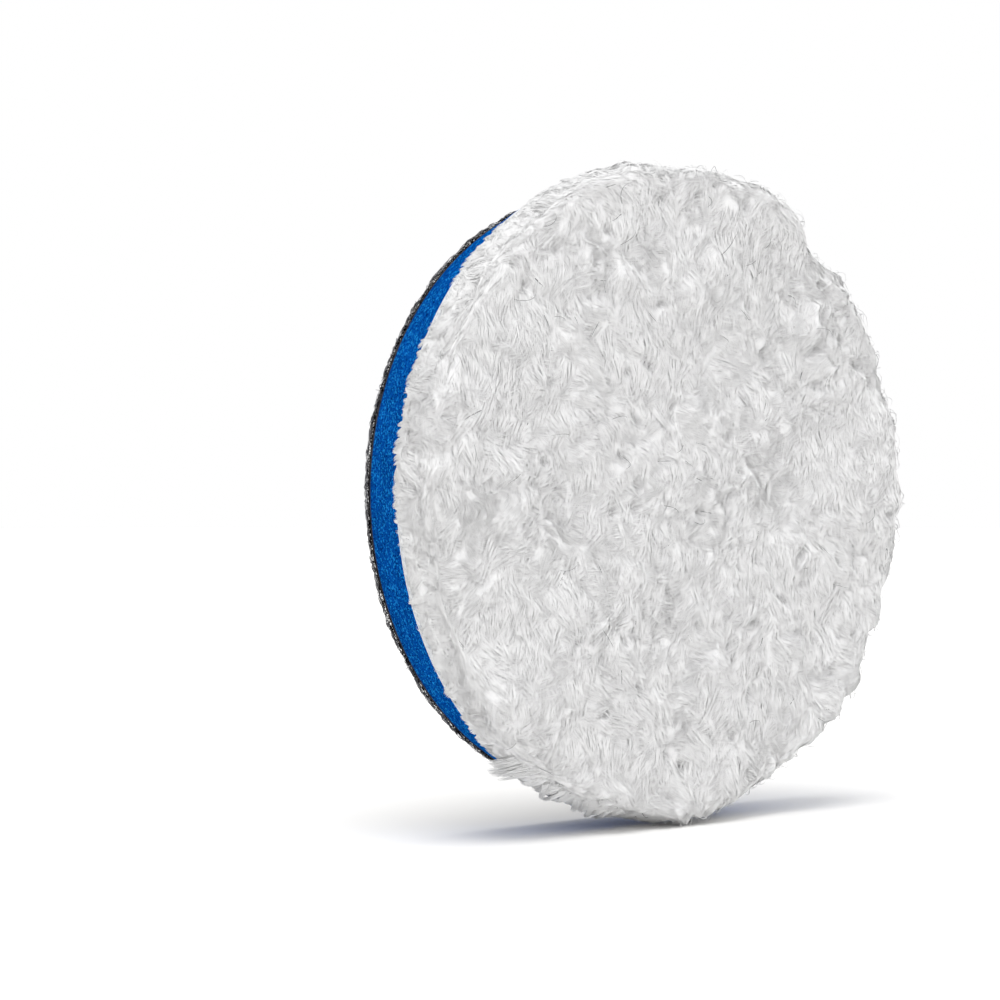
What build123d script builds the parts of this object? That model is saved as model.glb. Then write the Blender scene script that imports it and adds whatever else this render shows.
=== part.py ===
from build123d import *
import os

# Polishing pad for a hook-faced backing plate: a stack of round layers bonded
# face to face. Millimetres, +Z up. The pad stands on its rim, so its spin axis
# is the Y axis. The origin is the centre of the loop face, which looks along
# +Y, and the working pile looks along -Y. Each layer is given by its thickness,
# and its depth is counted from the loop face along -Y.

# Radii of the stack. The foam is cut with a straight taper, wider at the pile.
BACK_RADIUS = 70.0          # loop cloth and the back face of the foam
FRONT_RADIUS = 75.0         # front face of the foam and the pile's own cloth
PILE_RADIUS = 76.6          # widest part of the pile, which spills over its cloth

# Thicknesses, from the loop face to the working face.
LOOP_PILE_THICKNESS = 0.9   # standing loops that the hooks of the plate grip
LOOP_CLOTH_THICKNESS = 0.6  # warp-knit ground that the loops are drawn from
BOND_FILM_THICKNESS = 0.2   # melted adhesive film, one on each face of the foam
FOAM_THICKNESS = 16.0       # open-cell polyurethane interface
PILE_CLOTH_THICKNESS = 1.0  # knitted ground that carries the pile
PILE_THICKNESS = 10.5       # standing height of the white fibres

LOOP_EDGE_ROUND = 0.5       # the brushed loops lie over at the cut edge
PILE_SHOULDER = 5.0         # radius of the pile's rounded working edge

LAYER_ORDER = (
    ("loop_pile", LOOP_PILE_THICKNESS),
    ("loop_cloth", LOOP_CLOTH_THICKNESS),
    ("rear_bond_film", BOND_FILM_THICKNESS),
    ("foam_core", FOAM_THICKNESS),
    ("front_bond_film", BOND_FILM_THICKNESS),
    ("pile_cloth", PILE_CLOTH_THICKNESS),
    ("fibre_pile", PILE_THICKNESS),
)


def layer_planes():
    """Each layer's back and front plane, as Y positions."""
    planes = {}
    back = 0.0
    for name, thickness in LAYER_ORDER:
        planes[name] = (back, back - thickness)
        back -= thickness
    return planes


def turned(outline):
    """The solid of revolution of a closed outline drawn beside the Y axis."""
    return revolve(make_face(outline), Axis.Y, 360)


def tapered_disc(back, front, back_radius, front_radius):
    """A disc between two Y planes whose edge runs straight between two radii."""
    return turned(Polyline(
        (0, back), (back_radius, back), (front_radius, front), (0, front),
        close=True,
    ))


def loop_pile(back, front):
    """The standing loops: a thin disc with its exposed edge rounded over."""
    edge_start = (BACK_RADIUS - LOOP_EDGE_ROUND, back)
    edge_end = (BACK_RADIUS, back - LOOP_EDGE_ROUND)
    return turned(
        Polyline(edge_end, (BACK_RADIUS, front), (0, front), (0, back), edge_start)
        + TangentArc(edge_start, edge_end, tangent=(1, 0))
    )


def fibre_pile(back, front):
    """The pile: it swells past its cloth and rounds over to a flat face."""
    base = (FRONT_RADIUS, back)
    widest = (PILE_RADIUS, front + PILE_SHOULDER)
    face_edge = (PILE_RADIUS - PILE_SHOULDER, front)
    return turned(
        Polyline(face_edge, (0, front), (0, back), base)
        + TangentArc(widest, base, tangent=(0, 1))
        + TangentArc(widest, face_edge, tangent=(0, -1))
    )


def make_pad():
    """Every layer of the pad by name."""
    planes = layer_planes()
    pad = {
        "loop_pile": loop_pile(*planes["loop_pile"]),
        "foam_core": tapered_disc(*planes["foam_core"], BACK_RADIUS, FRONT_RADIUS),
        "fibre_pile": fibre_pile(*planes["fibre_pile"]),
    }
    for name in ("loop_cloth", "rear_bond_film"):
        pad[name] = tapered_disc(*planes[name], BACK_RADIUS, BACK_RADIUS)
    for name in ("front_bond_film", "pile_cloth"):
        pad[name] = tapered_disc(*planes[name], FRONT_RADIUS, FRONT_RADIUS)
    return pad


def main():
    os.makedirs("parts", exist_ok=True)
    for name, solid in make_pad().items():
        solid.label = name
        export_step(solid, f"parts/{name}.step")


main()
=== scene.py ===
import itertools
import math

import bpy
import numpy as np
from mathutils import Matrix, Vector


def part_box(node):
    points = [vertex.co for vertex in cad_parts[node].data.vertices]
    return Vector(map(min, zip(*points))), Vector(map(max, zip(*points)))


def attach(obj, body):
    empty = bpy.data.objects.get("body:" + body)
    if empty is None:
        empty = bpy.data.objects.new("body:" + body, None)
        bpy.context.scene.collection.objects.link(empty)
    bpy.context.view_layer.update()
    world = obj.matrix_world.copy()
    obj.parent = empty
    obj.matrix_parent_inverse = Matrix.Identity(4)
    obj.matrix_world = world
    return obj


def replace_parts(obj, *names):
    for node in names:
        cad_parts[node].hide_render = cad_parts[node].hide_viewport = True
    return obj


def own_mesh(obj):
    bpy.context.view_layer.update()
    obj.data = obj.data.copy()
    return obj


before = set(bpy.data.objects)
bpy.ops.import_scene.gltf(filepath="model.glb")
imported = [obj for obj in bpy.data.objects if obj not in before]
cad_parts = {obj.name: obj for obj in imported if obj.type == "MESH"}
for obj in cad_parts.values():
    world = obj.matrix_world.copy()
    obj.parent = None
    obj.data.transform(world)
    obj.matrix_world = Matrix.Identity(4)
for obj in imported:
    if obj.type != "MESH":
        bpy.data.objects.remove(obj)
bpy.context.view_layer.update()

# The looks of a polishing pad, in metres, in the CAD frame: the pad stands on
# its rim, its loop face looks along +Y and its white pile along -Y. "Depth" is
# measured below the outer surface of a piece.

MM = 0.001
GOLDEN_ANGLE = math.pi * (3 - math.sqrt(5))
BAKE_UV = "OFBake"           # the UV map that a piece's colours are baked into
FIBRE_OWN_SHADE = 0.13       # how far a fibre that lies in the mat shades as a rod of its own
HANGING_OWN_SHADE = 0.7      # the same for one that hangs clear of it

# ---------------------------------------------------------------- the frame

pile_low, pile_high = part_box("fibre_pile")
cloth_low, cloth_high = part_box("pile_cloth")
foam_low, foam_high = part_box("foam_core")
loop_low, loop_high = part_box("loop_pile")
knit_low, knit_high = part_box("loop_cloth")

PILE_RADIUS = pile_high.x
PILE_FRONT, PILE_BACK = pile_low.y, pile_high.y
PILE_SHOULDER = 5.0 * MM     # rounding of the pile's working edge, as in CAD
FRONT_RADIUS = cloth_high.x
BACK_RADIUS = loop_high.x
FOAM_FRONT, FOAM_BACK = foam_low.y, foam_high.y
FLOOR_Z = pile_low.z

# ---------------------------------------------------------------- repeatable noise


HASH_MASK = np.uint64(0xFFFFFFFF)
HASH_STRIDES = [np.uint64(k) for k in (0x8DA6B343, 0xD8163841, 0xCB1AB31F)]
HASH_SEED_STRIDE = 0x9E3779B9
HASH_ROUNDS = ((16, 0x7FEB352D), (15, 0x846CA68B))   # shift, factor


def hashed(cells, seed):
    """A repeatable number from 0 to 1 for each whole-numbered cell of space."""
    k = cells.astype(np.int64).astype(np.uint64) & HASH_MASK
    h = sum(k[..., i] * stride for i, stride in enumerate(HASH_STRIDES))
    h = h + np.uint64(seed * HASH_SEED_STRIDE)
    for shift, factor in HASH_ROUNDS:
        h = h & HASH_MASK
        h = (h ^ (h >> np.uint64(shift))) * np.uint64(factor)
    h = h & HASH_MASK
    return (h ^ (h >> np.uint64(16))).astype(float) / 2**32


def noise(points, size, seed=0):
    """Smooth noise from -1 to 1 at each point, with lumps about size across."""
    scaled = points / size
    base = np.floor(scaled)
    t = scaled - base
    t = t * t * (3 - 2 * t)
    total = 0
    for corner in itertools.product((0, 1), repeat=3):
        weight = np.prod(np.where(corner, t, 1 - t), axis=-1)
        total = total + weight * hashed(base + np.array(corner), seed)
    return 2 * total - 1


def cell_distances(points, size, seed=0, steps_in_y=(-1, 0, 1)):
    """Distances to the nearest and second nearest of the points scattered one to a cell.

    Also gives a number from 0 to 1 for the cell of the nearest.
    """
    scaled = points / size
    base = np.floor(scaled)
    nearest = np.full(points.shape[:-1], 9.0)
    second = nearest.copy()
    tag = nearest.copy()
    for step in itertools.product((-1, 0, 1), steps_in_y, (-1, 0, 1)):
        cell = base + np.array(step)
        spot = cell + np.stack([hashed(cell, seed + i) for i in range(3)], axis=-1)
        if len(steps_in_y) == 1:
            spot[..., 1] = scaled[..., 1]
        d = np.linalg.norm(spot - scaled, axis=-1)
        tag = np.where(d < nearest, hashed(cell, seed + 3), tag)
        second = np.minimum(second, np.maximum(nearest, d))
        nearest = np.minimum(nearest, d)
    return nearest, second, tag


# ---------------------------------------------------------------- meshes


def link(name, mesh):
    piece = bpy.data.objects.new(name, mesh)
    bpy.context.scene.collection.objects.link(piece)
    return piece


def mesh_from(name, points, corners, face_sizes):
    """A smooth-shaded mesh from point rows, a flat list of corners, and corners per face."""
    mesh = bpy.data.meshes.new(name)
    mesh.vertices.add(len(points))
    mesh.vertices.foreach_set("co", points.astype(np.float32).ravel())
    mesh.loops.add(len(corners))
    mesh.loops.foreach_set("vertex_index", corners.astype(np.int32))
    mesh.polygons.add(len(face_sizes))
    starts = np.concatenate([[0], np.cumsum(face_sizes)[:-1]])
    mesh.polygons.foreach_set("loop_start", starts.astype(np.int32))
    mesh.update(calc_edges=True)
    mesh.shade_smooth()
    return mesh


def turned_faces(rows, sectors):
    """The corners and the sizes of the faces of a body of revolution.

    Its points are rows rings of sectors points each, then the middle of its
    first side and the middle of its last.
    """
    i, j = np.meshgrid(np.arange(rows - 1), np.arange(sectors), indexing="ij")
    k = (j + 1) % sectors
    quads = np.stack(
        [i * sectors + j, i * sectors + k, (i + 1) * sectors + k, (i + 1) * sectors + j],
        axis=-1,
    ).reshape(-1, 4)
    j = np.arange(sectors)
    k = (j + 1) % sectors
    last = (rows - 1) * sectors
    first_fan = np.stack([j * 0 + rows * sectors, k, j], axis=-1)
    last_fan = np.stack([j * 0 + rows * sectors + 1, last + j, last + k], axis=-1)
    corners = np.concatenate([quads.ravel(), first_fan.ravel(), last_fan.ravel()])
    return corners, np.concatenate([np.full(len(quads), 4), np.full(2 * sectors, 3)])


def turned_mesh(name, profile, sectors, displace):
    """A closed body of revolution about Y.

    profile rows are (radius, y), from the middle of the +Y side round the edge to
    the middle of the -Y side. displace(points, outward) gives the points' places
    in the mesh, and outward is the outline's normal at each of them.
    """
    inner = profile[1:-1]
    theta = np.arange(sectors) * 2 * math.pi / sectors
    r, y = inner[:, 0][:, None], inner[:, 1][:, None]
    points = np.stack(
        [r * np.cos(theta), y + 0 * theta, r * np.sin(theta)], axis=-1
    )
    along = np.gradient(inner, axis=0)
    along /= np.linalg.norm(along, axis=1)[:, None] + 1e-12
    out_r, out_y = -along[:, 1][:, None], along[:, 0][:, None]
    outward = np.stack(
        [out_r * np.cos(theta), out_y + 0 * theta, out_r * np.sin(theta)], axis=-1
    )
    points = displace(points, outward)
    ends = np.array([[0, points[0, :, 1].mean(), 0], [0, points[-1, :, 1].mean(), 0]])
    flat = np.concatenate([points.reshape(-1, 3), ends])
    return mesh_from(name, flat, *turned_faces(len(inner), sectors))


def unit(vectors):
    return vectors / (np.linalg.norm(vectors, axis=-1, keepdims=True) + 1e-12)


FIBRE_SIDES = 3
TONE_COLUMNS = 64            # columns of the bake's UV map, one for each tone of fibre
COLUMN_MARGIN = 0.15         # kept free at each side of a column, as a share of it
ROW_MARGIN = 0.02            # kept free at the map's top and bottom


def fibre_faces(share):
    """One fibre's face corners, their UV places and the sizes of its faces.

    share is how far along the fibre each ring is. Its last ring is a single point.
    """
    corners, uv, sizes = [], [], []
    for j in range(len(share) - 2):
        for k in range(FIBRE_SIDES):
            n = (k + 1) % FIBRE_SIDES
            low, high = j * FIBRE_SIDES, (j + 1) * FIBRE_SIDES
            corners += [low + k, high + k, high + n, low + n]
            uv += [(k, share[j]), (k, share[j + 1]), (k + 1, share[j + 1]), (k + 1, share[j])]
            sizes.append(4)
    tip = (len(share) - 1) * FIBRE_SIDES
    last = tip - FIBRE_SIDES
    for k in range(FIBRE_SIDES):
        corners += [last + (k + 1) % FIBRE_SIDES, last + k, tip]
        uv += [(k + 1, share[-2]), (k, share[-2]), (k + 0.5, 1.0)]
        sizes.append(3)
    corners += range(FIBRE_SIDES)
    uv += [(k, 0.0) for k in range(FIBRE_SIDES)]
    sizes.append(FIBRE_SIDES)
    return np.array(corners), np.array(uv), sizes


def mark_tones(mesh, tone, share, uv):
    """Gives fibres the attributes tone and reach, and their places in the bake's UV map."""
    column = np.floor(np.clip(tone, 0, 0.999) * TONE_COLUMNS) / TONE_COLUMNS
    across = COLUMN_MARGIN + (1 - 2 * COLUMN_MARGIN) * uv[None, :, 0] / FIBRE_SIDES
    u = column[:, None] + across / TONE_COLUMNS
    v = ROW_MARGIN + (1 - 2 * ROW_MARGIN) * np.broadcast_to(uv[None, :, 1], u.shape)
    layer = mesh.uv_layers.new(name=BAKE_UV)
    layer.data.foreach_set("uv", np.stack([u, v], axis=-1).astype(np.float32).ravel())
    reach = np.append(np.repeat(share[:-1], FIBRE_SIDES), 1.0)
    for key, values in (
        ("tone", np.repeat(column + 0.5 / TONE_COLUMNS, len(reach))),
        ("reach", np.tile(reach, len(tone))),
    ):
        attribute = mesh.attributes.new(key, "FLOAT", "POINT")
        attribute.data.foreach_set("value", values.astype(np.float32))


def fibre_mesh(name, lines, radii, hint, tone, surface=None, own_shade=FIBRE_OWN_SHADE):
    """Closed three-sided fibres. lines is (fibres, rings, 3), radii is (fibres, rings).

    Each fibre tapers to a point at its last ring. hint is a direction per fibre
    that its sides are turned by. tone is one number per fibre, from 0 to 1, and
    picks its column in the bake's UV map. surface holds the normals, ring by
    ring, of what the fibres lie on: fine matted fibres shade mostly like it, and
    own_shade is how far they shade as rods of their own.
    """
    fibres, rings = lines.shape[:2]
    tangent = unit(np.gradient(lines, axis=1))
    side = unit(np.cross(tangent, hint[:, None, :]))
    lift = np.cross(side, tangent)
    outward = []
    for k in range(FIBRE_SIDES):
        a = 2 * math.pi * k / FIBRE_SIDES
        outward.append((math.cos(a) * side + math.sin(a) * lift)[:, :-1])
    outward = np.stack(outward, axis=2)
    points = lines[:, :-1, None, :] + radii[:, :-1, None, None] * outward
    points = np.concatenate([points.reshape(fibres, -1, 3), lines[:, -1:]], axis=1)
    share = np.linspace(0, 1, rings)
    corners, uv, sizes = fibre_faces(share)
    offsets = np.arange(fibres)[:, None] * points.shape[1]
    mesh = mesh_from(
        name, points.reshape(-1, 3), (corners[None] + offsets).ravel(), np.tile(sizes, fibres)
    )
    if surface is not None:
        blend = unit(own_shade * outward + (1 - own_shade) * surface[:, :-1, None, :])
        blend = np.concatenate([blend.reshape(fibres, -1, 3), surface[:, -1:]], axis=1)
        mesh.normals_split_custom_set_from_vertices(blend.reshape(-1, 3))
    mark_tones(mesh, tone, share, uv)
    return mesh


# ---------------------------------------------------------------- materials


class Nodes:
    """A material's node tree, with short calls to add and join nodes."""

    def __init__(self, name, **constants):
        self.material = bpy.data.materials.new(name)
        self.material.use_nodes = True
        self.tree = self.material.node_tree
        self.shader = self.tree.nodes["Principled BSDF"]
        for socket, value in constants.items():
            self.shader.inputs[socket.replace("_", " ")].default_value = value

    def add(self, kind, sockets=(), **settings):
        node = self.tree.nodes.new("ShaderNode" + kind)
        for key, value in settings.items():
            setattr(node, key, value)
        for key, value in dict(sockets).items():
            if isinstance(value, bpy.types.NodeSocket):
                self.tree.links.new(value, node.inputs[key])
            else:
                node.inputs[key].default_value = value
        return node

    def to_shader(self, socket, value):
        self.tree.links.new(value, self.shader.inputs[socket])

    def ramp(self, value, stops):
        """A colour ramp on a value. stops is ((position, colour), ...)."""
        node = self.add("ValToRGB", {"Fac": value})
        elements = node.color_ramp.elements
        while len(elements) < len(stops):
            elements.new(0.5)
        for element, (position, colour) in zip(elements, stops):
            element.position = position
            element.color = (*colour, 1)
        return node.outputs["Color"]

    def multiply(self, a, b):
        node = self.add("Mix", data_type="RGBA", blend_type="MULTIPLY")
        node.inputs[0].default_value = 1.0
        self.tree.links.new(a, node.inputs[6])
        self.tree.links.new(b, node.inputs[7])
        return node.outputs[2]

    def bump(self, height, strength, distance):
        node = self.add("Bump", {"Height": height, "Strength": strength, "Distance": distance})
        self.to_shader("Normal", node.outputs["Normal"])


def position(m):
    return m.add("TexCoord").outputs["Object"]


def grey(value):
    return (value, value, value)


FULL = grey(1.0)


def fibre_material(name, tones, painted_root_shade, **constants):
    """Fibres: tones across the fibres, times a root-to-tip gradient that darkens each fibre
    towards its root as painted shade.
    """
    m = Nodes(name, **constants)
    tone = m.add("Attribute", attribute_name="tone").outputs["Fac"]
    reach = m.add("Attribute", attribute_name="reach").outputs["Fac"]
    m.to_shader("Base Color", m.multiply(m.ramp(tone, tones), m.ramp(reach, painted_root_shade)))
    return m.material


def pile_fibre_material():
    return fibre_material(
        "pile_fibres",
        (
            (0.0, (0.20, 0.20, 0.21)), (0.07, (0.79, 0.79, 0.795)),
            (0.4, (0.815, 0.815, 0.816)), (1.0, (0.84, 0.84, 0.839)),
        ),
        # painted shade: each pile fibre slightly darker and cooler at its root
        ((0.0, (0.97, 0.972, 0.978)), (0.5, FULL), (1.0, FULL)),
        Roughness=0.95, Sheen_Weight=0.02, Sheen_Roughness=0.6, Specular_IOR_Level=0.02,
    )


def fleece_material():
    """The matted under-layer of the pile, seen in the gaps between the locks. Its noise gives the
    fleece an uneven tone of its own, and its colour, darker overall than the fibres', is painted
    shade in those gaps.
    """
    m = Nodes("pile_fleece", Sheen_Weight=0.2, Sheen_Roughness=0.5, Specular_IOR_Level=0.2)
    place = position(m)
    strands = m.add("TexNoise", {"Vector": place, "Scale": 900.0, "Detail": 4.0})
    # painted shade: darker than the fibres, for the shade in the gaps between the locks
    shade = m.ramp(
        strands.outputs["Fac"], ((0.3, (0.74, 0.742, 0.747)), (0.7, (0.80, 0.80, 0.801)))
    )
    m.to_shader("Base Color", shade)
    rough = m.add("MapRange", {"Value": strands.outputs["Fac"], "To Min": 0.75, "To Max": 0.95})
    m.to_shader("Roughness", rough.outputs["Result"])
    m.bump(strands.outputs["Fac"], 0.35, 0.3 * MM)
    return m.material


def foam_material():
    """Open-cell foam: blue cell walls, each cell darker towards its middle as painted shade in its
    pore, and a few cells brightened into painted glints.
    """
    m = Nodes("foam_blue", Specular_IOR_Level=0.0)
    place = position(m)
    per_metre = 2600.0
    cells = m.add("TexVoronoi", {"Vector": place, "Scale": per_metre}, feature="DISTANCE_TO_EDGE")
    pores = m.add("TexVoronoi", {"Vector": place, "Scale": per_metre})
    # painted shade: each cell's colour darkens from its walls to its middle, the pore
    wall = m.ramp(
        cells.outputs["Distance"],
        (
            (0.0, (0.0022, 0.107, 0.44)), (0.14, (0.0014, 0.061, 0.314)),
            (0.5, (0.0008, 0.0245, 0.157)),
        ),
    )
    each = m.add("SeparateColor", {"Color": pores.outputs["Color"]})
    # painted highlight: a few cells are brightened several times over as glints on the struts
    painted_glint = (6.5, 3.0, 1.75)
    varied = m.ramp(
        each.outputs[0],
        ((0.0, (0.2, 0.3, 0.38)), (0.35, (0.85, 0.88, 0.9)), (0.8, FULL), (0.89, painted_glint)),
    )
    patches = m.add("TexNoise", {"Vector": place, "Scale": 150.0, "Detail": 3.0})
    patch = m.ramp(patches.outputs["Fac"], ((0.3, grey(0.86)), (0.7, grey(1.08))))
    m.to_shader("Base Color", m.multiply(m.multiply(wall, varied), patch))
    rough = m.add("MapRange", {"Value": cells.outputs["Distance"], "To Min": 0.6, "To Max": 0.95})
    m.to_shader("Roughness", rough.outputs["Result"])
    m.bump(cells.outputs["Distance"], 0.6, 0.25 * MM)
    return m.material


LOOP_BLACK = (0.0003, 0.00025, 0.0008)


def loop_base_material():
    """The dense bed of the black loops, brushed in patches."""
    m = Nodes("loop_bed", Sheen_Weight=0.003, Sheen_Roughness=0.5, Specular_IOR_Level=0.008)
    place = position(m)
    grain = m.add("TexNoise", {"Vector": place, "Scale": 1400.0, "Detail": 5.0})
    brushed = m.add("TexNoise", {"Vector": place, "Scale": 45.0, "Detail": 3.0})
    fine = m.ramp(
        grain.outputs["Fac"], ((0.35, LOOP_BLACK), (0.7, (0.0015, 0.0012, 0.0035)))
    )
    broad = m.ramp(brushed.outputs["Fac"], ((0.35, grey(0.7)), (0.65, (1.3, 1.3, 1.35))))
    m.to_shader("Base Color", m.multiply(fine, broad))
    rough = m.add("MapRange", {"Value": grain.outputs["Fac"], "To Min": 0.7, "To Max": 1.0})
    m.to_shader("Roughness", rough.outputs["Result"])
    m.bump(grain.outputs["Fac"], 0.8, 0.4 * MM)
    return m.material


def knit_material(name, dark, light, scale):
    """A knitted ground cloth: stitch ribs that cross, and yarn-to-yarn variation."""
    m = Nodes(name, Sheen_Weight=0.2, Specular_IOR_Level=0.25)
    place = position(m)
    ribs = m.add("TexVoronoi", {"Vector": place, "Scale": scale}, feature="SMOOTH_F1")
    yarn = m.add("TexNoise", {"Vector": place, "Scale": scale * 2.5, "Detail": 3.0})
    shade = m.ramp(ribs.outputs["Distance"], ((0.0, light), (0.7, dark)))
    vary = m.ramp(yarn.outputs["Fac"], ((0.3, grey(0.8)), (0.7, FULL)))
    m.to_shader("Base Color", m.multiply(shade, vary))
    rough = m.add("MapRange", {"Value": yarn.outputs["Fac"], "To Min": 0.75, "To Max": 0.95})
    m.to_shader("Roughness", rough.outputs["Result"])
    m.bump(ribs.outputs["Distance"], 0.5, 0.2 * MM)
    return m.material


def film_material(name, dark, light):
    """Melted adhesive film: uneven and half glossy."""
    m = Nodes(name, Specular_IOR_Level=0.3)
    place = position(m)
    flow = m.add("TexNoise", {"Vector": place, "Scale": 260.0, "Detail": 4.0})
    m.to_shader("Base Color", m.ramp(flow.outputs["Fac"], ((0.3, dark), (0.7, light))))
    rough = m.add("MapRange", {"Value": flow.outputs["Fac"], "To Min": 0.4, "To Max": 0.7})
    m.to_shader("Roughness", rough.outputs["Result"])
    m.bump(flow.outputs["Fac"], 0.3, 0.2 * MM)
    return m.material


def dress(piece, material, body):
    """Gives a new piece its material and the body that it moves with."""
    piece.data.materials.append(material)
    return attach(piece, body)


# ---------------------------------------------------------------- the white pile

TUFTS = 3560                 # locks of fibres over the whole pile
RIM_TUFTS = 600              # more of them on its side wall, where the shoulder spreads them thin
FRINGE_TUFTS = 640           # short ones along its back edge, over the cut edge of its cloth
FIBRES_PER_TUFT = 26
FIBRE_RINGS = 5
TUFT_SECTORS = 14            # the tufts are kept in this many pieces, by their place round Y
ROOT_DEPTH = 2.0 * MM        # where a fibre comes out of the fleece, below the outer surface
LUMP = 11.0 * MM             # a matted lump of the pile, from crease to crease
CURL = 4.8 * MM              # the smaller curls that the lumps are made of
LUMP_LAYERS = ((LUMP, 1.1, 1.3, 23), (CURL, 0.25, 0.3, 27))   # size, rise, spread, seed
CREASE_SHARE = 0.7           # how much of the way to its middle a lump is still rising
BROAD_WAVES = ((16 * MM, 1.6, 24), (34 * MM, 1.4, 25))        # size, rise, seed
MEAN_HEIGHT = -1.25          # brings the mean of the lumps back to the outline, in mm
WARP_SIZE, WARP = 9 * MM, 3.4 * MM     # bends the lumps' straight creases
DIMPLE_SPACING = 9 * MM      # small pits where the pile is parted
DIMPLE_RADIUS, DIMPLE_DEPTH = 1.9 * MM, 2.8
DIMPLE_FROM = 0.68           # cells of DIMPLE_SPACING with a number over this have a pit
RIM_RISE = 1.75              # the height of the rim, where the lumps level off, in mm
# Where the rim stands out: angle round Y and half width in degrees, rise in mm.
RIM_SWELLS = ((86, 8, 0.9), (68, 8, 3.6), (29, 6, 1.7), (-42, 15, 1.7), (163, 4, 0.9))
PILE_SINK = 1.3 * MM         # the mean surface of the fibres, below the CAD outline
FLEECE_SINK = 1.62 * MM      # the same for the fleece they come out of
RIM_SINK = 0.6 * MM          # how much deeper the fleece lies at the rim
TUFT_FIBRE_RADIUS = 0.105 * MM
STRAY_FIBRE_RADIUS = 0.1 * MM
FLYAWAY_RADIUS = 0.06 * MM
# Locks of the mat, and short ones of the fringe: least and most, in mm.
LOCK_LENGTH, LOCK_WIDTH = (4.0, 7.5), (1.7, 3.0)
FRINGE_LENGTH, FRINGE_WIDTH = (2.4, 5.2), (0.7, 1.5)
FRINGE_LIFT, FRINGE_REACH = 0.35, 2.6   # of its tips, off and past the back edge, in mm
LOCK_CROWN = 0.22 * MM       # the height of a lock's middle over its sides
FIBRE_SCATTER = 0.05         # of a fibre's height in its lock, in mm
CRIMP = (0.02, 0.12)         # the fibres' waves, least and most, in mm
LEAN_WAVES = ((1.5, 24 * MM, 11), (1.0, 9 * MM, 12))   # turn in radians, size, seed
LUMP_TURN, LOCK_TURN = 1.9, 0.3         # how far lumps and single locks turn, in radians
DARK_SHARE = 0.0007          # fibres that carry dirt, in the locks
DARK_FLYAWAYS = 0.03         # and among the stray ones
FLYAWAYS = 1500
STRAY_LOCK_FIBRES = 90

# The pile's outline from the middle of the face outwards: flat, shoulder, side.
FLAT_LENGTH = PILE_RADIUS - PILE_SHOULDER
SHOULDER_LENGTH = PILE_SHOULDER * math.pi / 2
SIDE_RISE = PILE_BACK - PILE_FRONT - PILE_SHOULDER
SIDE_DROP = PILE_RADIUS - FRONT_RADIUS
SIDE_ROUND = (SIDE_RISE**2 + SIDE_DROP**2) / (2 * SIDE_DROP)
SIDE_LENGTH = SIDE_ROUND * math.asin(SIDE_RISE / SIDE_ROUND)
OUTLINE_LENGTH = FLAT_LENGTH + SHOULDER_LENGTH + SIDE_LENGTH
FOAM_TAPER = math.atan2(FRONT_RADIUS - BACK_RADIUS, FOAM_BACK - FOAM_FRONT)
GRID_STEP = 0.4 * MM         # of the square grid that the lumps' heights are kept on
GRID_REACH = OUTLINE_LENGTH + 8 * MM


def pile_outline(s):
    """Radius, y and the normal's angle from -Y at each distance s along the outline.

    Past its end the outline runs straight on, over the foam.
    """
    on_shoulder = np.clip((s - FLAT_LENGTH) / PILE_SHOULDER, 0, math.pi / 2)
    on_side = (s - FLAT_LENGTH - SHOULDER_LENGTH) / SIDE_ROUND
    on_side = np.clip(on_side, 0, SIDE_LENGTH / SIDE_ROUND)
    angle = on_shoulder + on_side
    past = np.clip(s - OUTLINE_LENGTH, 0, None)
    r = np.minimum(s, FLAT_LENGTH) + PILE_SHOULDER * np.sin(on_shoulder)
    r = r - SIDE_ROUND * (1 - np.cos(on_side)) - past * math.sin(FOAM_TAPER)
    y = PILE_FRONT + PILE_SHOULDER * (1 - np.cos(on_shoulder)) + SIDE_ROUND * np.sin(on_side)
    return r, y + past * math.cos(FOAM_TAPER), angle


def on_pile(place):
    """The outer surface at each place of the unrolled pile: its points and normals.

    The pile is unrolled into a flat disc, so a place is a pair whose length is
    the distance along the outline and whose direction is the angle round Y.
    """
    s = np.linalg.norm(place, axis=-1)
    theta = np.arctan2(place[..., 1], place[..., 0])
    r, y, angle = pile_outline(s)
    radial = np.stack([np.cos(theta), 0 * theta, np.sin(theta)], axis=-1)
    back = np.array([0, 1.0, 0])
    point = r[..., None] * radial + y[..., None] * back
    return point, np.sin(angle)[..., None] * radial - np.cos(angle)[..., None] * back


def lumps(place):
    """Height of the matted lumps at each place of the unrolled pile, and a number for each."""
    flat = np.stack([place[..., 0], 0 * place[..., 0], place[..., 1]], axis=-1)
    shift_x, shift_z = noise(flat, WARP_SIZE, 21), noise(flat, WARP_SIZE, 22)
    bent = flat + WARP * np.stack([shift_x, 0 * shift_x, shift_z], axis=-1)
    height = MEAN_HEIGHT
    for size, rise, spread, seed in LUMP_LAYERS:
        nearest, second, number = cell_distances(bent, size, seed, steps_in_y=(0,))
        gap = np.clip((second - nearest) / CREASE_SHARE, 0, 1)
        mound = gap * gap * (3 - 2 * gap)
        height = height + rise * mound + spread * (number - 0.5) * mound
        tag = number if size == LUMP else tag
    for size, rise, seed in BROAD_WAVES:
        height = height + rise * noise(flat, size, seed)
    to_dimple, _, number = cell_distances(bent, DIMPLE_SPACING, 29, steps_in_y=(0,))
    dimple = np.clip(1 - to_dimple * DIMPLE_SPACING / DIMPLE_RADIUS, 0, 1)
    height = height - DIMPLE_DEPTH * dimple * (number > DIMPLE_FROM) * number
    s = np.linalg.norm(place, axis=-1)
    inside = np.clip((OUTLINE_LENGTH - s) / (5 * MM), 0, 1)
    height = height * (0.3 + 0.7 * inside) + RIM_RISE * (1 - inside)
    return (height + rim_swell(place, s)) * MM, tag


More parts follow.
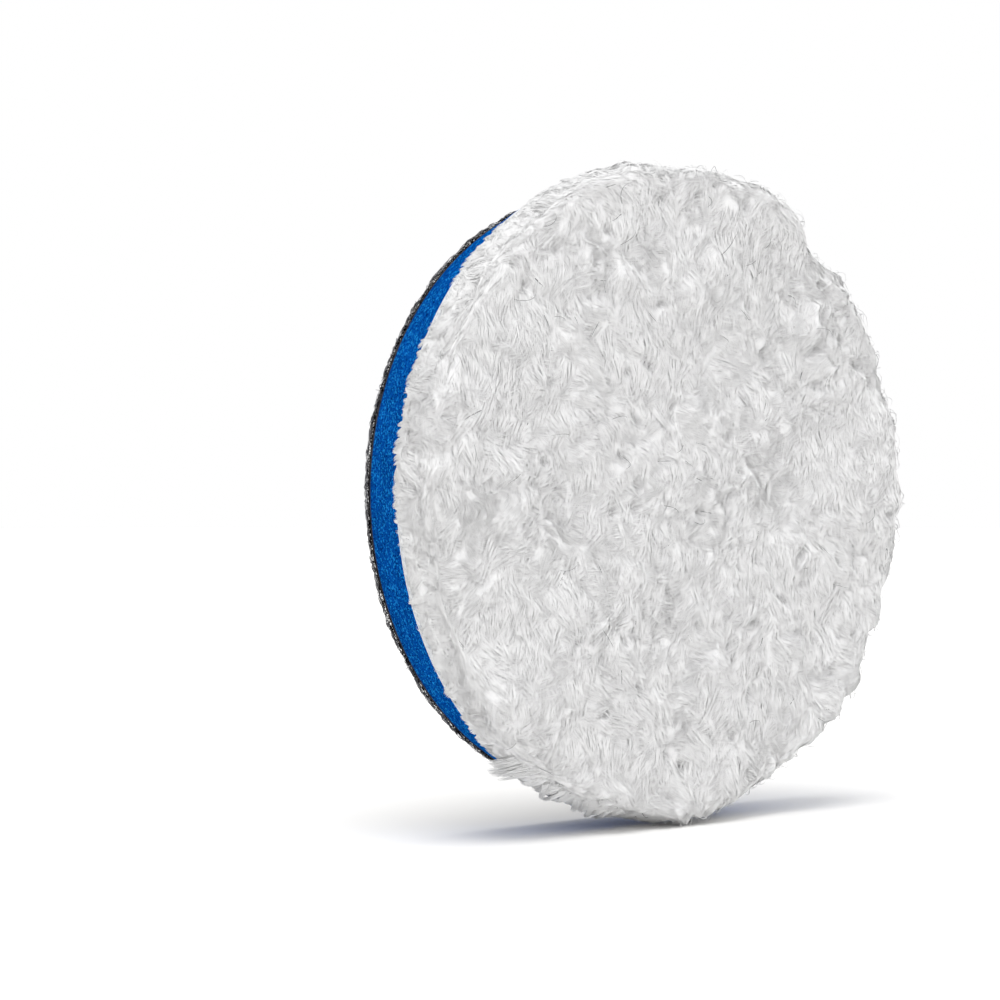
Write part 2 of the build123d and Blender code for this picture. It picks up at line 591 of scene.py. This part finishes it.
def rim_swell(place, s):
    """How far the rim stands out where the pile is fuller, in millimetres."""
    theta = np.degrees(np.arctan2(place[..., 1], place[..., 0]))
    near_rim = np.clip((s - FLAT_LENGTH + 9 * MM) / (12 * MM), 0, 1)
    near_rim = near_rim * np.clip((OUTLINE_LENGTH - s) / (4 * MM), 0, 1)
    total = 0
    for angle, half_width, rise in RIM_SWELLS:
        off = (theta - angle + 180) % 360 - 180
        total = total + rise * np.exp(-((off / half_width) ** 2))
    return total * near_rim


def lump_grid():
    """The lumps' heights on a fine square grid over the whole unrolled pile."""
    axis = np.arange(-GRID_REACH, GRID_REACH + GRID_STEP, GRID_STEP)
    return lumps(np.stack(np.meshgrid(axis, axis, indexing="ij"), axis=-1))[0]


def height_at(place):
    """The lumps' height at each place, read between the points of the grid."""
    spot = np.clip((place + GRID_REACH) / GRID_STEP, 0, len(LUMP_GRID) - 1.001)
    i, j = np.moveaxis(np.floor(spot).astype(int), -1, 0)
    x, z = np.moveaxis(spot % 1.0, -1, 0)
    low = LUMP_GRID[i, j] * (1 - z) + LUMP_GRID[i, j + 1] * z
    high = LUMP_GRID[i + 1, j] * (1 - z) + LUMP_GRID[i + 1, j + 1] * z
    return low * (1 - x) + high * x


LUMP_GRID = lump_grid()


def lumpy_normals(place):
    """Normals of the lumpy surface at each place, smoothed over a fibre or two."""
    step = 1.0 * MM

    def spot(x, z):
        moved = place + np.array([x, z])
        point, normal = on_pile(moved)
        return point + height_at(moved)[..., None] * normal

    return unit(np.cross(spot(step, 0) - spot(-step, 0), spot(0, step) - spot(0, -step)))


def spread_over_pile(count, rng):
    """count places spread evenly over the unrolled pile."""
    s = (OUTLINE_LENGTH + 0.4 * MM) * np.sqrt((np.arange(count) + 0.5) / count)
    theta = np.arange(count) * GOLDEN_ANGLE
    place = s[:, None] * np.stack([np.cos(theta), np.sin(theta)], axis=-1)
    return place + rng.normal(0, 0.9 * MM, (count, 2))


def lock_lines(tufts, fibres, rng):
    """The centre lines of every lock's fibres, laid over the lumps of the pile.

    tufts holds one row per lock: place and lean (pairs on the unrolled pile),
    length, width, gather (how far the tips close up), bend (sideways), tuck
    (how far the tips go under) and limit (how far along the outline it goes).
    """
    count = len(tufts["length"])
    u = np.linspace(0, 1, FIBRE_RINGS)[None, None, :]

    def each(key):
        return tufts[key][:, None, None]

    ring = np.sqrt(rng.uniform(0, 1, (count, fibres)))[..., None]
    turn = rng.uniform(0, 2 * math.pi, (count, fibres))[..., None]
    across = each("width") * ring * np.cos(turn)
    along = each("width") * ring * np.sin(turn)
    length = each("length") * rng.uniform(0.7, 1.15, (count, fibres))[..., None]
    phase = rng.uniform(0, 2 * math.pi, (count, fibres))[..., None]
    crimp = rng.uniform(*CRIMP, (count, fibres))[..., None] * MM
    wave = crimp * np.sin(phase + u * rng.uniform(4, 9, (count, fibres))[..., None])

    sideways = across * (1 - each("gather") * u**1.5) + each("bend") * length * u**2 + wave
    forward = along * (1 - each("gather") * u) + length * (u**1.2 - 0.5)
    height = (
        -ROOT_DEPTH * (1 - u) ** 3
        + LOCK_CROWN * (1 - ring**2) * (1 - (1 - u) ** 2)
        - each("tuck") * u**3
        + rng.normal(0, FIBRE_SCATTER, (count, fibres))[..., None] * MM
        + 0.6 * np.roll(wave, 1, axis=1)
        - PILE_SINK
    )
    lean = tufts["lean"][:, None, None, :]
    beside = np.stack([-lean[..., 1], lean[..., 0]], axis=-1)
    place = tufts["place"][:, None, None, :] + forward[..., None] * lean
    place = place + sideways[..., None] * beside
    far = np.linalg.norm(place, axis=-1)
    place = place * np.minimum(1, each("limit") / (far + 1e-9))[..., None]
    point, normal = on_pile(place)
    lines = point + (height_at(place) + height)[..., None] * normal
    shape = (count * fibres, FIBRE_RINGS, 3)
    return lines.reshape(shape), lumpy_normals(place).reshape(shape)


def fibre_radii(count, thick, rng, rings=FIBRE_RINGS):
    """Each fibre's radius at each ring, thinner towards its tip."""
    taper = np.interp(np.linspace(0, 1, rings), (0, 0.4, 0.8, 1), (1.0, 1.0, 0.65, 0.0))
    return thick * rng.uniform(0.7, 1.3, (count, 1)) * taper[None, :]


def bent_over(place, rng):
    """The way each lock lies on the unrolled pile: mostly down, each lump its own way."""
    flat = np.stack([place[:, 0], 0 * place[:, 0], place[:, 1]], axis=-1)
    tag = lumps(place)[1]
    turn = sum(rise * noise(flat, size, seed) for rise, size, seed in LEAN_WAVES)
    turn = turn + LUMP_TURN * (tag - 0.5) + rng.normal(0, LOCK_TURN, len(place)) - math.pi / 2
    lean = np.stack([np.cos(turn), np.sin(turn)], axis=-1)
    s = np.linalg.norm(place, axis=-1)
    radial = place / s[:, None]
    outward = np.sum(lean * radial, axis=-1)
    over = (s > OUTLINE_LENGTH - 4 * MM) & (outward > 0)
    return lean - (0.7 * outward * over)[:, None] * radial


def rim_places(count, reach, rng):
    """Places all round the pile's back edge, up to reach short of it."""
    turn = np.arange(count) * GOLDEN_ANGLE
    s = OUTLINE_LENGTH - rng.uniform(0, 1, count) * reach
    return s[:, None] * np.stack([np.cos(turn), np.sin(turn)], axis=-1)


def turned_outward(place, scatter, rng):
    """Lock directions that point past the pile's back edge, give or take scatter radians."""
    turn = np.arctan2(place[:, 1], place[:, 0]) + rng.normal(0, scatter, len(place))
    return np.stack([np.cos(turn), np.sin(turn)], axis=-1)


def make_tufts(rng):
    """All the locks of the pile, in TUFT_SECTORS pieces."""
    rim_band, fringe_band, overhang = 6 * MM, 1.6 * MM, 0.3 * MM
    body = np.concatenate([spread_over_pile(TUFTS, rng), rim_places(RIM_TUFTS, rim_band, rng)])
    fringe = rim_places(FRINGE_TUFTS, fringe_band, rng) * (1 + overhang / OUTLINE_LENGTH)
    place = np.concatenate([body, fringe])
    total = len(place)
    short = np.arange(total) >= len(body)

    def between(of_fringe, of_mat):
        return np.where(short, rng.uniform(*of_fringe, total), rng.uniform(*of_mat, total)) * MM

    tufts = {
        "place": place,
        "lean": np.concatenate([bent_over(body, rng), turned_outward(fringe, 0.75, rng)]),
        "length": between(FRINGE_LENGTH, LOCK_LENGTH),
        "width": between(FRINGE_WIDTH, LOCK_WIDTH),
        "gather": rng.uniform(0.1, 0.8, total),
        "bend": rng.normal(0, 0.3, total),
        "tuck": np.where(short, -FRINGE_LIFT, rng.uniform(-0.1, 0.45, total)) * MM,
        "limit": OUTLINE_LENGTH + np.where(short, FRINGE_REACH, rng.uniform(0.1, 1.4, total)) * MM,
    }
    lines, surface = lock_lines(tufts, FIBRES_PER_TUFT, rng)
    radii = fibre_radii(len(lines), TUFT_FIBRE_RADIUS, rng)
    tone = 0.6 + rng.normal(0, 0.1, total)
    tone = np.repeat(tone, FIBRES_PER_TUFT) + rng.normal(0, 0.12, len(lines))
    dark = rng.uniform(0, 1, len(lines)) < DARK_SHARE
    tone = np.where(dark, 0.0, np.clip(tone, 0.08, 1))
    hint = np.repeat(on_pile(place)[1], FIBRES_PER_TUFT, axis=0)
    turn = np.arctan2(place[:, 1], place[:, 0]) / (2 * math.pi)
    sector = np.repeat(np.floor(turn % 1.0 * TUFT_SECTORS).astype(int), FIBRES_PER_TUFT)
    material = pile_fibre_material()
    pieces = []
    for k in range(TUFT_SECTORS):
        some = sector == k
        mesh = fibre_mesh(
            f"pile_tufts_{k + 1}", lines[some], radii[some], hint[some], tone[some], surface[some]
        )
        pieces.append(dress(link(mesh.name, mesh), material, "face"))
    return pieces, material


BROAD_LOCK, THIN_LOCK = (0.5, 1.8, 0.85), (0.8, 1.0, 1.8)     # reach, width, lift
STRAY_LOCKS = (              # angle round Y in degrees, reach past the outline, width, lift
    (160, 3.2, 3.0, 0.5), (163, 2.4, 2.4, 0.4), (194, 2.6, 1.8, 0.5), (198, 1.8, 1.4, 0.5),
    (214, 2.2, 1.6, 0.9), (232, 1.4, 2.4, 2.6), (234, 2.0, 2.6, 4.2),
    *((238 + 2 * k, *(THIN_LOCK if k % 2 else BROAD_LOCK)) for k in range(11)),
    (20, 2.2, 1.4, 0.7), (48, 1.0, 1.4, 1.4), (52, 0.8, 1.2, 1.2), (75, 2.4, 1.3, 0.7),
    (112, 1.8, 1.2, 1.0), (292, 2.0, 1.5, 0.7),
)


def make_stray_locks(rng, material):
    """Locks that hang past the pile's back edge, over the foam."""
    angle, reach, width, lift = np.array(STRAY_LOCKS).T
    angle = np.radians(angle)
    lean = np.stack([np.cos(angle), np.sin(angle)], axis=-1)
    count, fibres = len(angle), STRAY_LOCK_FIBRES
    tufts = {
        "place": lean * (OUTLINE_LENGTH - 3 * MM + reach * MM / 2)[:, None],
        "lean": turned_outward(lean, 0.5, rng),
        "length": reach * MM + 5.0 * MM,
        "width": width * MM,
        "gather": rng.uniform(0.1, 0.6, count),
        "bend": rng.normal(0, 0.25, count),
        "tuck": -lift * MM,
        "limit": OUTLINE_LENGTH + reach * MM,
    }
    lines, surface = lock_lines(tufts, fibres, rng)
    radii = fibre_radii(len(lines), STRAY_FIBRE_RADIUS, rng)
    tone = np.clip(rng.normal(0.7, 0.15, len(lines)), 0.1, 1)
    hint = np.repeat(on_pile(tufts["place"])[1], fibres, axis=0)
    mesh = fibre_mesh("pile_stray_locks", lines, radii, hint, tone, surface, HANGING_OWN_SHADE)
    return dress(link(mesh.name, mesh), material, "face")


def make_flyaways(rng, material):
    """Single long fibres that curl over the locks and stand clear of the rim."""
    count, rings = FLYAWAYS, 10
    place = spread_over_pile(count, rng)
    inside = (OUTLINE_LENGTH - 7 * MM) / np.linalg.norm(place, axis=1)
    place = place * np.minimum(1, inside)[:, None]
    turn = rng.uniform(0, 2 * math.pi, count)[:, None]
    curl = rng.normal(0, 1.6, count)[:, None]
    u = np.linspace(0, 1, rings)[None, :]
    heading = turn + curl * u
    step = rng.uniform(3, 9, count)[:, None] * MM / rings
    path = np.cumsum(np.stack([np.cos(heading) * step, np.sin(heading) * step], -1), 1)
    spots = place[:, None, :] + path
    far = np.linalg.norm(spots, axis=-1)
    spots = spots * np.minimum(1, (OUTLINE_LENGTH - 3 * MM) / (far + 1e-9))[..., None]
    point, normal = on_pile(spots)
    rise = rng.uniform(0.1, 1.2, count)[:, None] * np.sin(math.pi * u) - 1.2 * (1 - u) ** 3
    height = height_at(spots) + rise * MM - PILE_SINK + 0.5 * MM
    lines = point + height[..., None] * normal
    radii = fibre_radii(count, FLYAWAY_RADIUS, rng, rings)
    dark = rng.uniform(0, 1, count) < DARK_FLYAWAYS
    tone = np.where(dark, 0.0, np.clip(rng.normal(0.75, 0.2, count), 0.1, 1))
    mesh = fibre_mesh("pile_flyaways", lines, radii, normal[:, 0], tone, lumpy_normals(spots))
    return dress(link(mesh.name, mesh), material, "face")


def make_fleece():
    """The matted under-layer that the locks come out of."""
    s = np.concatenate([
        np.linspace(0, FLAT_LENGTH, 90, endpoint=False),
        np.linspace(FLAT_LENGTH, OUTLINE_LENGTH, 26),
    ])
    r, y, _ = pile_outline(s)
    tucked_in, edge_band = 1.2 * MM, 1.5 * MM
    r = r - tucked_in * np.clip(1 - (PILE_BACK - y) / edge_band, 0, 1)
    inward = np.linspace(FRONT_RADIUS - tucked_in, 0, 8)[1:]
    profile = np.concatenate([
        np.stack([r, y], axis=1), np.stack([inward, 0 * inward + PILE_BACK], axis=1)
    ])
    distance = np.concatenate([s, 0 * inward])[::-1][1:-1]

    def matted(points, outward):
        theta = np.arctan2(points[..., 2], points[..., 0])
        place = distance[:, None, None] * np.stack([np.cos(theta), np.sin(theta)], axis=-1)
        fine = noise(points, 0.9 * MM, 32) * 0.06 * MM
        skin = np.clip((PILE_BACK - points[..., 1]) / edge_band, 0, 1)
        at_rim = np.clip(1 - (OUTLINE_LENGTH - distance) / (6 * MM), 0, 1)[:, None]
        sink = FLEECE_SINK + RIM_SINK * at_rim
        return points + outward * ((height_at(place) + fine - sink) * skin)[..., None]

    mesh = turned_mesh("pile_fleece", profile[::-1], 720, matted)
    fleece = dress(link(mesh.name, mesh), fleece_material(), "face")
    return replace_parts(fleece, "fibre_pile")


# ---------------------------------------------------------------- the foam

FOAM_SECTORS = 1440
FOAM_ROWS = 46
PORE_SIZE = 0.8 * MM
PORE_DEPTH = 0.42            # in mm, for each unit of PORE_REACH
PORE_REACH = 0.75            # a pore's radius, as a share of PORE_SIZE


def make_foam():
    """The foam core: a straight taper whose cut side is full of small open cells."""
    side = np.linspace(0, 1, FOAM_ROWS)
    r = FRONT_RADIUS + (BACK_RADIUS - FRONT_RADIUS) * side
    y = FOAM_FRONT + (FOAM_BACK - FOAM_FRONT) * side
    faces = np.linspace(1, 0, 6)[1:]
    profile = np.concatenate([
        np.stack([FRONT_RADIUS * faces[::-1], 0 * faces + FOAM_FRONT], axis=1),
        np.stack([r, y], axis=1),
        np.stack([BACK_RADIUS * faces, 0 * faces + FOAM_BACK], axis=1),
    ])

    def porous(points, outward):
        nearest = cell_distances(points, PORE_SIZE, 41)[0]
        pits = np.clip(PORE_REACH - nearest, 0, PORE_REACH) * PORE_DEPTH * MM
        ragged = noise(points, 3.5 * MM, 42) * 0.12 * MM
        on_side = np.zeros(points.shape[:2])
        on_side[len(faces):len(faces) + FOAM_ROWS] = 1
        radial = points * np.array([1, 0, 1])
        return points - unit(radial) * ((pits + ragged) * on_side)[..., None]

    mesh = turned_mesh("foam_body", profile[::-1], FOAM_SECTORS, porous)
    foam = dress(link(mesh.name, mesh), foam_material(), "backing")
    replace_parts(foam, "foam_core")
    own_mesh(foam)
    return foam


# ---------------------------------------------------------------- cloths and loops


def disc_profile(radius, back, front, rows):
    """A flat disc's outline from its back middle, round the edge, to its front middle."""
    flat = np.linspace(0, radius, 24)
    edge = np.linspace(back, front, rows)[1:-1]
    return np.concatenate([
        np.stack([flat, 0 * flat + back], axis=1),
        np.stack([0 * edge + radius, edge], axis=1),
        np.stack([flat[::-1], 0 * flat + front], axis=1),
    ])


def make_cloth(name, radius, back, front, material, stitches, node, body):
    """A knitted ground cloth whose cut edge shows its stitches."""

    def stitched(points, outward):
        theta = np.arctan2(points[..., 2], points[..., 0])
        depth = (back - points[..., 1]) / (back - front)
        bulge = np.sin(theta * stitches) * np.cos(depth * 2 * math.pi + theta * stitches / 2)
        at_edge = np.linalg.norm(points[..., ::2], axis=-1) > radius - 0.05 * MM
        push = at_edge * (bulge * 0.12 + noise(points, 1.6 * MM, 51) * 0.1) * MM
        return points + unit(points * np.array([1, 0, 1])) * push[..., None]

    mesh = turned_mesh(name, disc_profile(radius, back, front, 7), 1800, stitched)
    cloth = dress(link(name, mesh), material, body)
    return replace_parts(cloth, node)


LOOP_EDGE = 0.5 * MM         # rounding of the bed's edge
LOOP_BED_SINK = 0.32         # the bed's surface below the loops' outline, in mm


def make_loop_bed():
    """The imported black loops, as a bed with a grain of its own."""
    flat = np.linspace(0, BACK_RADIUS - LOOP_EDGE, 160)
    bend = np.linspace(0, math.pi / 2, 5)[1:]
    profile = np.concatenate([
        np.stack([flat, 0 * flat + loop_high.y], axis=1),
        np.stack([
            BACK_RADIUS - LOOP_EDGE + LOOP_EDGE * np.sin(bend),
            loop_high.y - LOOP_EDGE * (1 - np.cos(bend)),
        ], axis=1),
        np.array([[BACK_RADIUS, loop_low.y], [BACK_RADIUS * 0.5, loop_low.y], [0, loop_low.y]]),
    ])

    def packed(points, outward):
        grain = noise(points, 0.8 * MM, 61) * 0.12 + noise(points, 4 * MM, 62) * 0.05
        sunk = np.clip((points[..., 1] - loop_low.y) / (0.4 * MM), 0, 1)
        return points - outward * ((LOOP_BED_SINK - grain) * MM * sunk)[..., None]

    mesh = turned_mesh("loop_bed", profile, 540, packed)
    bed = dress(link(mesh.name, mesh), loop_base_material(), "backing")
    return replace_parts(bed, "loop_pile")


LOOP_PIECES = 3              # the loops are kept in this many pieces
LOOPS_OVER_FACE, LOOPS_AT_RIM = 15000, 5000
LOOP_SIZE = (0.6, 1.0)       # least and most, in mm
RIM_LOOP_SHARE = 0.6         # the size of those at the rim, as a share of the others
LOOP_RADIUS, YARN_RADIUS = 0.07 * MM, 0.075 * MM
YARN_LENGTH = (1.4, 4.0)     # least and most, in mm
YARN_STRANDS = 2600


def make_loops(rng):
    """Fine black loops and fibres that stand on the bed, thickest at the rim."""
    over_face, at_rim = LOOPS_OVER_FACE, LOOPS_AT_RIM
    k = np.arange(over_face)
    r = np.concatenate([
        BACK_RADIUS * np.sqrt((k + 0.5) / over_face),
        np.full(at_rim, BACK_RADIUS) - rng.uniform(0, 0.8, at_rim) * MM,
    ])
    theta = np.concatenate([k * GOLDEN_ANGLE, rng.uniform(0, 2 * math.pi, at_rim)])
    total = over_face + at_rim
    radial = np.stack([np.cos(theta), 0 * theta, np.sin(theta)], axis=-1)
    around = np.stack([-np.sin(theta), 0 * theta, np.cos(theta)], axis=-1)
    start = r[:, None] * radial + np.array([0, loop_high.y - 0.6 * MM, 0])
    start[over_face:, 1] -= rng.uniform(0, 0.8, at_rim) * MM
    up = np.zeros((total, 3))
    up[:, 1] = 1
    up[over_face:] = unit(radial[over_face:] + np.array([0, 0.3, 0]))
    turn = noise(start, 9 * MM, 71) * 2.5 + rng.normal(0, 0.9, total)
    over = unit(
        np.cos(turn)[:, None] * around + np.sin(turn)[:, None] * np.cross(around, up)
    )
    size = rng.uniform(*LOOP_SIZE, total)[:, None, None] * MM
    size[over_face:] *= RIM_LOOP_SHARE
    u = np.linspace(0, 1, FIBRE_RINGS)[None, :, None]
    lines = (
        start[:, None, :]
        + up[:, None, :] * size * np.sin(u * math.pi * 0.85)
        + over[:, None, :] * size * u * 1.3
    )
    radii = fibre_radii(total, LOOP_RADIUS, rng)
    tone = np.clip(rng.normal(0.35, 0.2, total), 0, 0.8)
    tone[over_face:] += rng.uniform(0, 0.3, at_rim)
    material = fibre_material(
        "loop_fibres",
        ((0.0, LOOP_BLACK), (0.6, (0.0019, 0.0016, 0.0042)), (1.0, (0.030, 0.028, 0.036))),
        # painted shade: each loop darker towards its root
        ((0.0, grey(0.6)), (1.0, FULL)),
        Roughness=0.8, Sheen_Weight=0.003, Specular_IOR_Level=0.01,
    )
    pieces = []
    for k in range(LOOP_PIECES):
        some = slice(k, None, LOOP_PIECES)
        mesh = fibre_mesh(f"loop_fibres_{k + 1}", lines[some], radii[some], up[some], tone[some])
        pieces.append(dress(link(mesh.name, mesh), material, "backing"))
    return pieces


def make_edge_yarn(rng):
    """The grey yarn that frays along the cut edge of the loop cloth."""
    count, rings = YARN_STRANDS, 8
    start = rng.uniform(0, 2 * math.pi, count)[:, None]
    length = rng.uniform(*YARN_LENGTH, count)[:, None] * MM
    u = np.linspace(0, 1, rings)[None, :]
    theta = start + u * length / BACK_RADIUS
    ring = np.stack([np.cos(theta), 0 * theta, np.sin(theta)], axis=-1) * BACK_RADIUS
    strand = rng.uniform(0, 2 * math.pi, count)[:, None]
    twist = strand + u * rng.uniform(2, 7, count)[:, None]
    wander = noise(ring, 3.0 * MM, 81) * 0.45 + noise(ring, 1.1 * MM, 82) * 0.2
    depth = rng.uniform(-0.25, 0.5, count)[:, None]
    out = (0.05 + depth + 0.5 * wander + 0.14 * np.cos(twist)) * MM
    lift = (noise(ring, 4.0 * MM, 83) * 0.3 + 0.16 * np.sin(twist)) * MM
    lines = ring + unit(ring) * out[..., None]
    lines[..., 1] += loop_high.y - 0.35 * MM + lift
    radii = fibre_radii(count, YARN_RADIUS, rng, rings)
    tone = np.clip(rng.normal(0.5, 0.25, count), 0, 1)
    along_axis = np.tile([0.0, 1.0, 0.0], (count, 1))
    mesh = fibre_mesh("loop_edge_yarn", lines, radii, along_axis, tone)
    material = fibre_material(
        "loop_edge_yarn",
        ((0.0, (0.03, 0.029, 0.032)), (0.5, (0.17, 0.165, 0.17)), (1.0, (0.48, 0.47, 0.48))),
        # painted shade: each yarn strand darker towards the end where it starts
        ((0.0, grey(0.8)), (1.0, FULL)),
        Roughness=0.7, Sheen_Weight=0.1, Specular_IOR_Level=0.2,
    )
    return dress(link(mesh.name, mesh), material, "backing")


# ---------------------------------------------------------------- studio and camera


FLOOR_RADIUS = 6.0
FLOOR_COLOUR = (0.935, 0.93, 0.92, 1)        # a trace of warmth, against the foam's blue
CAMERA_TURN = math.radians(39.4)             # from +Y towards +X
CAMERA_BACK, CAMERA_LEFT, CAMERA_DROP = 0.5799, 0.0359, 0.0016
CAMERA_LENS, CAMERA_SENSOR = 90, 36          # in millimetres


def make_floor():
    bpy.ops.mesh.primitive_circle_add(
        vertices=128, radius=FLOOR_RADIUS, fill_type="NGON", location=(0, 0, FLOOR_Z)
    )
    floor = bpy.context.object
    floor.name = "floor"
    m = Nodes("floor_pale", Roughness=0.9, Specular_IOR_Level=0.1)
    m.shader.inputs["Base Color"].default_value = FLOOR_COLOUR
    floor.data.materials.append(m.material)


def make_world():
    """White behind everything, and a softer white that lights the scene from all round."""
    world = bpy.data.worlds.new("studio")
    bpy.context.scene.world = world
    world.use_nodes = True
    tree = world.node_tree
    shown, lighting = tree.nodes["Background"], tree.nodes.new("ShaderNodeBackground")
    shown.inputs["Color"].default_value = (1, 1, 1, 1)
    shown.inputs["Strength"].default_value = 1.0
    lighting.inputs["Color"].default_value = (1, 1, 1, 1)
    lighting.inputs["Strength"].default_value = 0.68
    seen = tree.nodes.new("ShaderNodeLightPath")
    mix = tree.nodes.new("ShaderNodeMixShader")
    tree.links.new(seen.outputs["Is Camera Ray"], mix.inputs[0])
    tree.links.new(lighting.outputs[0], mix.inputs[1])
    tree.links.new(shown.outputs[0], mix.inputs[2])
    tree.links.new(mix.outputs[0], tree.nodes["World Output"].inputs["Surface"])


def add_sun(name, strength, spread, azimuth, elevation):
    """A very soft light from far off. Angles are in degrees, azimuth from -Y towards +X."""
    light = bpy.data.lights.new(name, "SUN")
    light.energy = strength
    light.angle = math.radians(spread)
    lamp = bpy.data.objects.new(name, light)
    bpy.context.scene.collection.objects.link(lamp)
    a, e = math.radians(azimuth), math.radians(elevation)
    towards = Vector((math.sin(a) * math.cos(e), -math.cos(a) * math.cos(e), math.sin(e)))
    lamp.rotation_euler = (-towards).to_track_quat("-Z", "Y").to_euler()


def make_studio():
    make_world()
    add_sun("overhead_softbox", strength=1.6, spread=42, azimuth=-65, elevation=76)
    add_sun("front_softbox", strength=1.05, spread=110, azimuth=-15, elevation=32)
    bpy.context.scene.view_settings.view_transform = "Standard"


def make_camera():
    """The photograph's view: level, turned towards the pile side, the pad right of centre."""
    ahead = Vector((math.sin(CAMERA_TURN), math.cos(CAMERA_TURN), 0))
    right = Vector((math.cos(CAMERA_TURN), -math.sin(CAMERA_TURN), 0))
    aim = Vector((0, FOAM_FRONT, 0))
    camera = bpy.data.cameras.new("camera")
    camera.lens = CAMERA_LENS
    camera.sensor_width = CAMERA_SENSOR
    seat = bpy.data.objects.new("camera", camera)
    bpy.context.scene.collection.objects.link(seat)
    seat.location = aim - CAMERA_BACK * ahead - CAMERA_LEFT * right
    seat.location.z -= CAMERA_DROP
    seat.rotation_euler = ahead.to_track_quat("-Z", "Y").to_euler()
    bpy.context.scene.camera = seat


def main():
    rng = np.random.default_rng(7)
    make_camera()
    make_studio()
    make_floor()
    fleece = make_fleece()
    tufts, fibres = make_tufts(rng)
    strays = [make_stray_locks(rng, fibres), make_flyaways(rng, fibres)]
    make_foam()
    pile_cloth = make_cloth(
        "pile_ground", FRONT_RADIUS, cloth_high.y, cloth_low.y,
        knit_material("pile_ground", (0.55, 0.58, 0.62), (0.9, 0.9, 0.9), 900.0),
        360, "pile_cloth", "face",
    )
    loop_cloth = make_cloth(
        "loop_ground", BACK_RADIUS, knit_high.y, knit_low.y,
        knit_material("loop_ground", (0.006, 0.006, 0.008), (0.03, 0.03, 0.036), 1100.0),
        380, "loop_cloth", "backing",
    )
    bed = make_loop_bed()
    loops = make_loops(rng)
    yarn = make_edge_yarn(rng)
    films = {
        "front_bond_film": film_material("front_film", (0.62, 0.68, 0.74), (0.84, 0.87, 0.90)),
        "rear_bond_film": film_material("rear_film", (0.004, 0.02, 0.07), (0.010, 0.05, 0.16)),
    }
    for node, film in films.items():
        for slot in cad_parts[node].material_slots:
            slot.material = film


main()
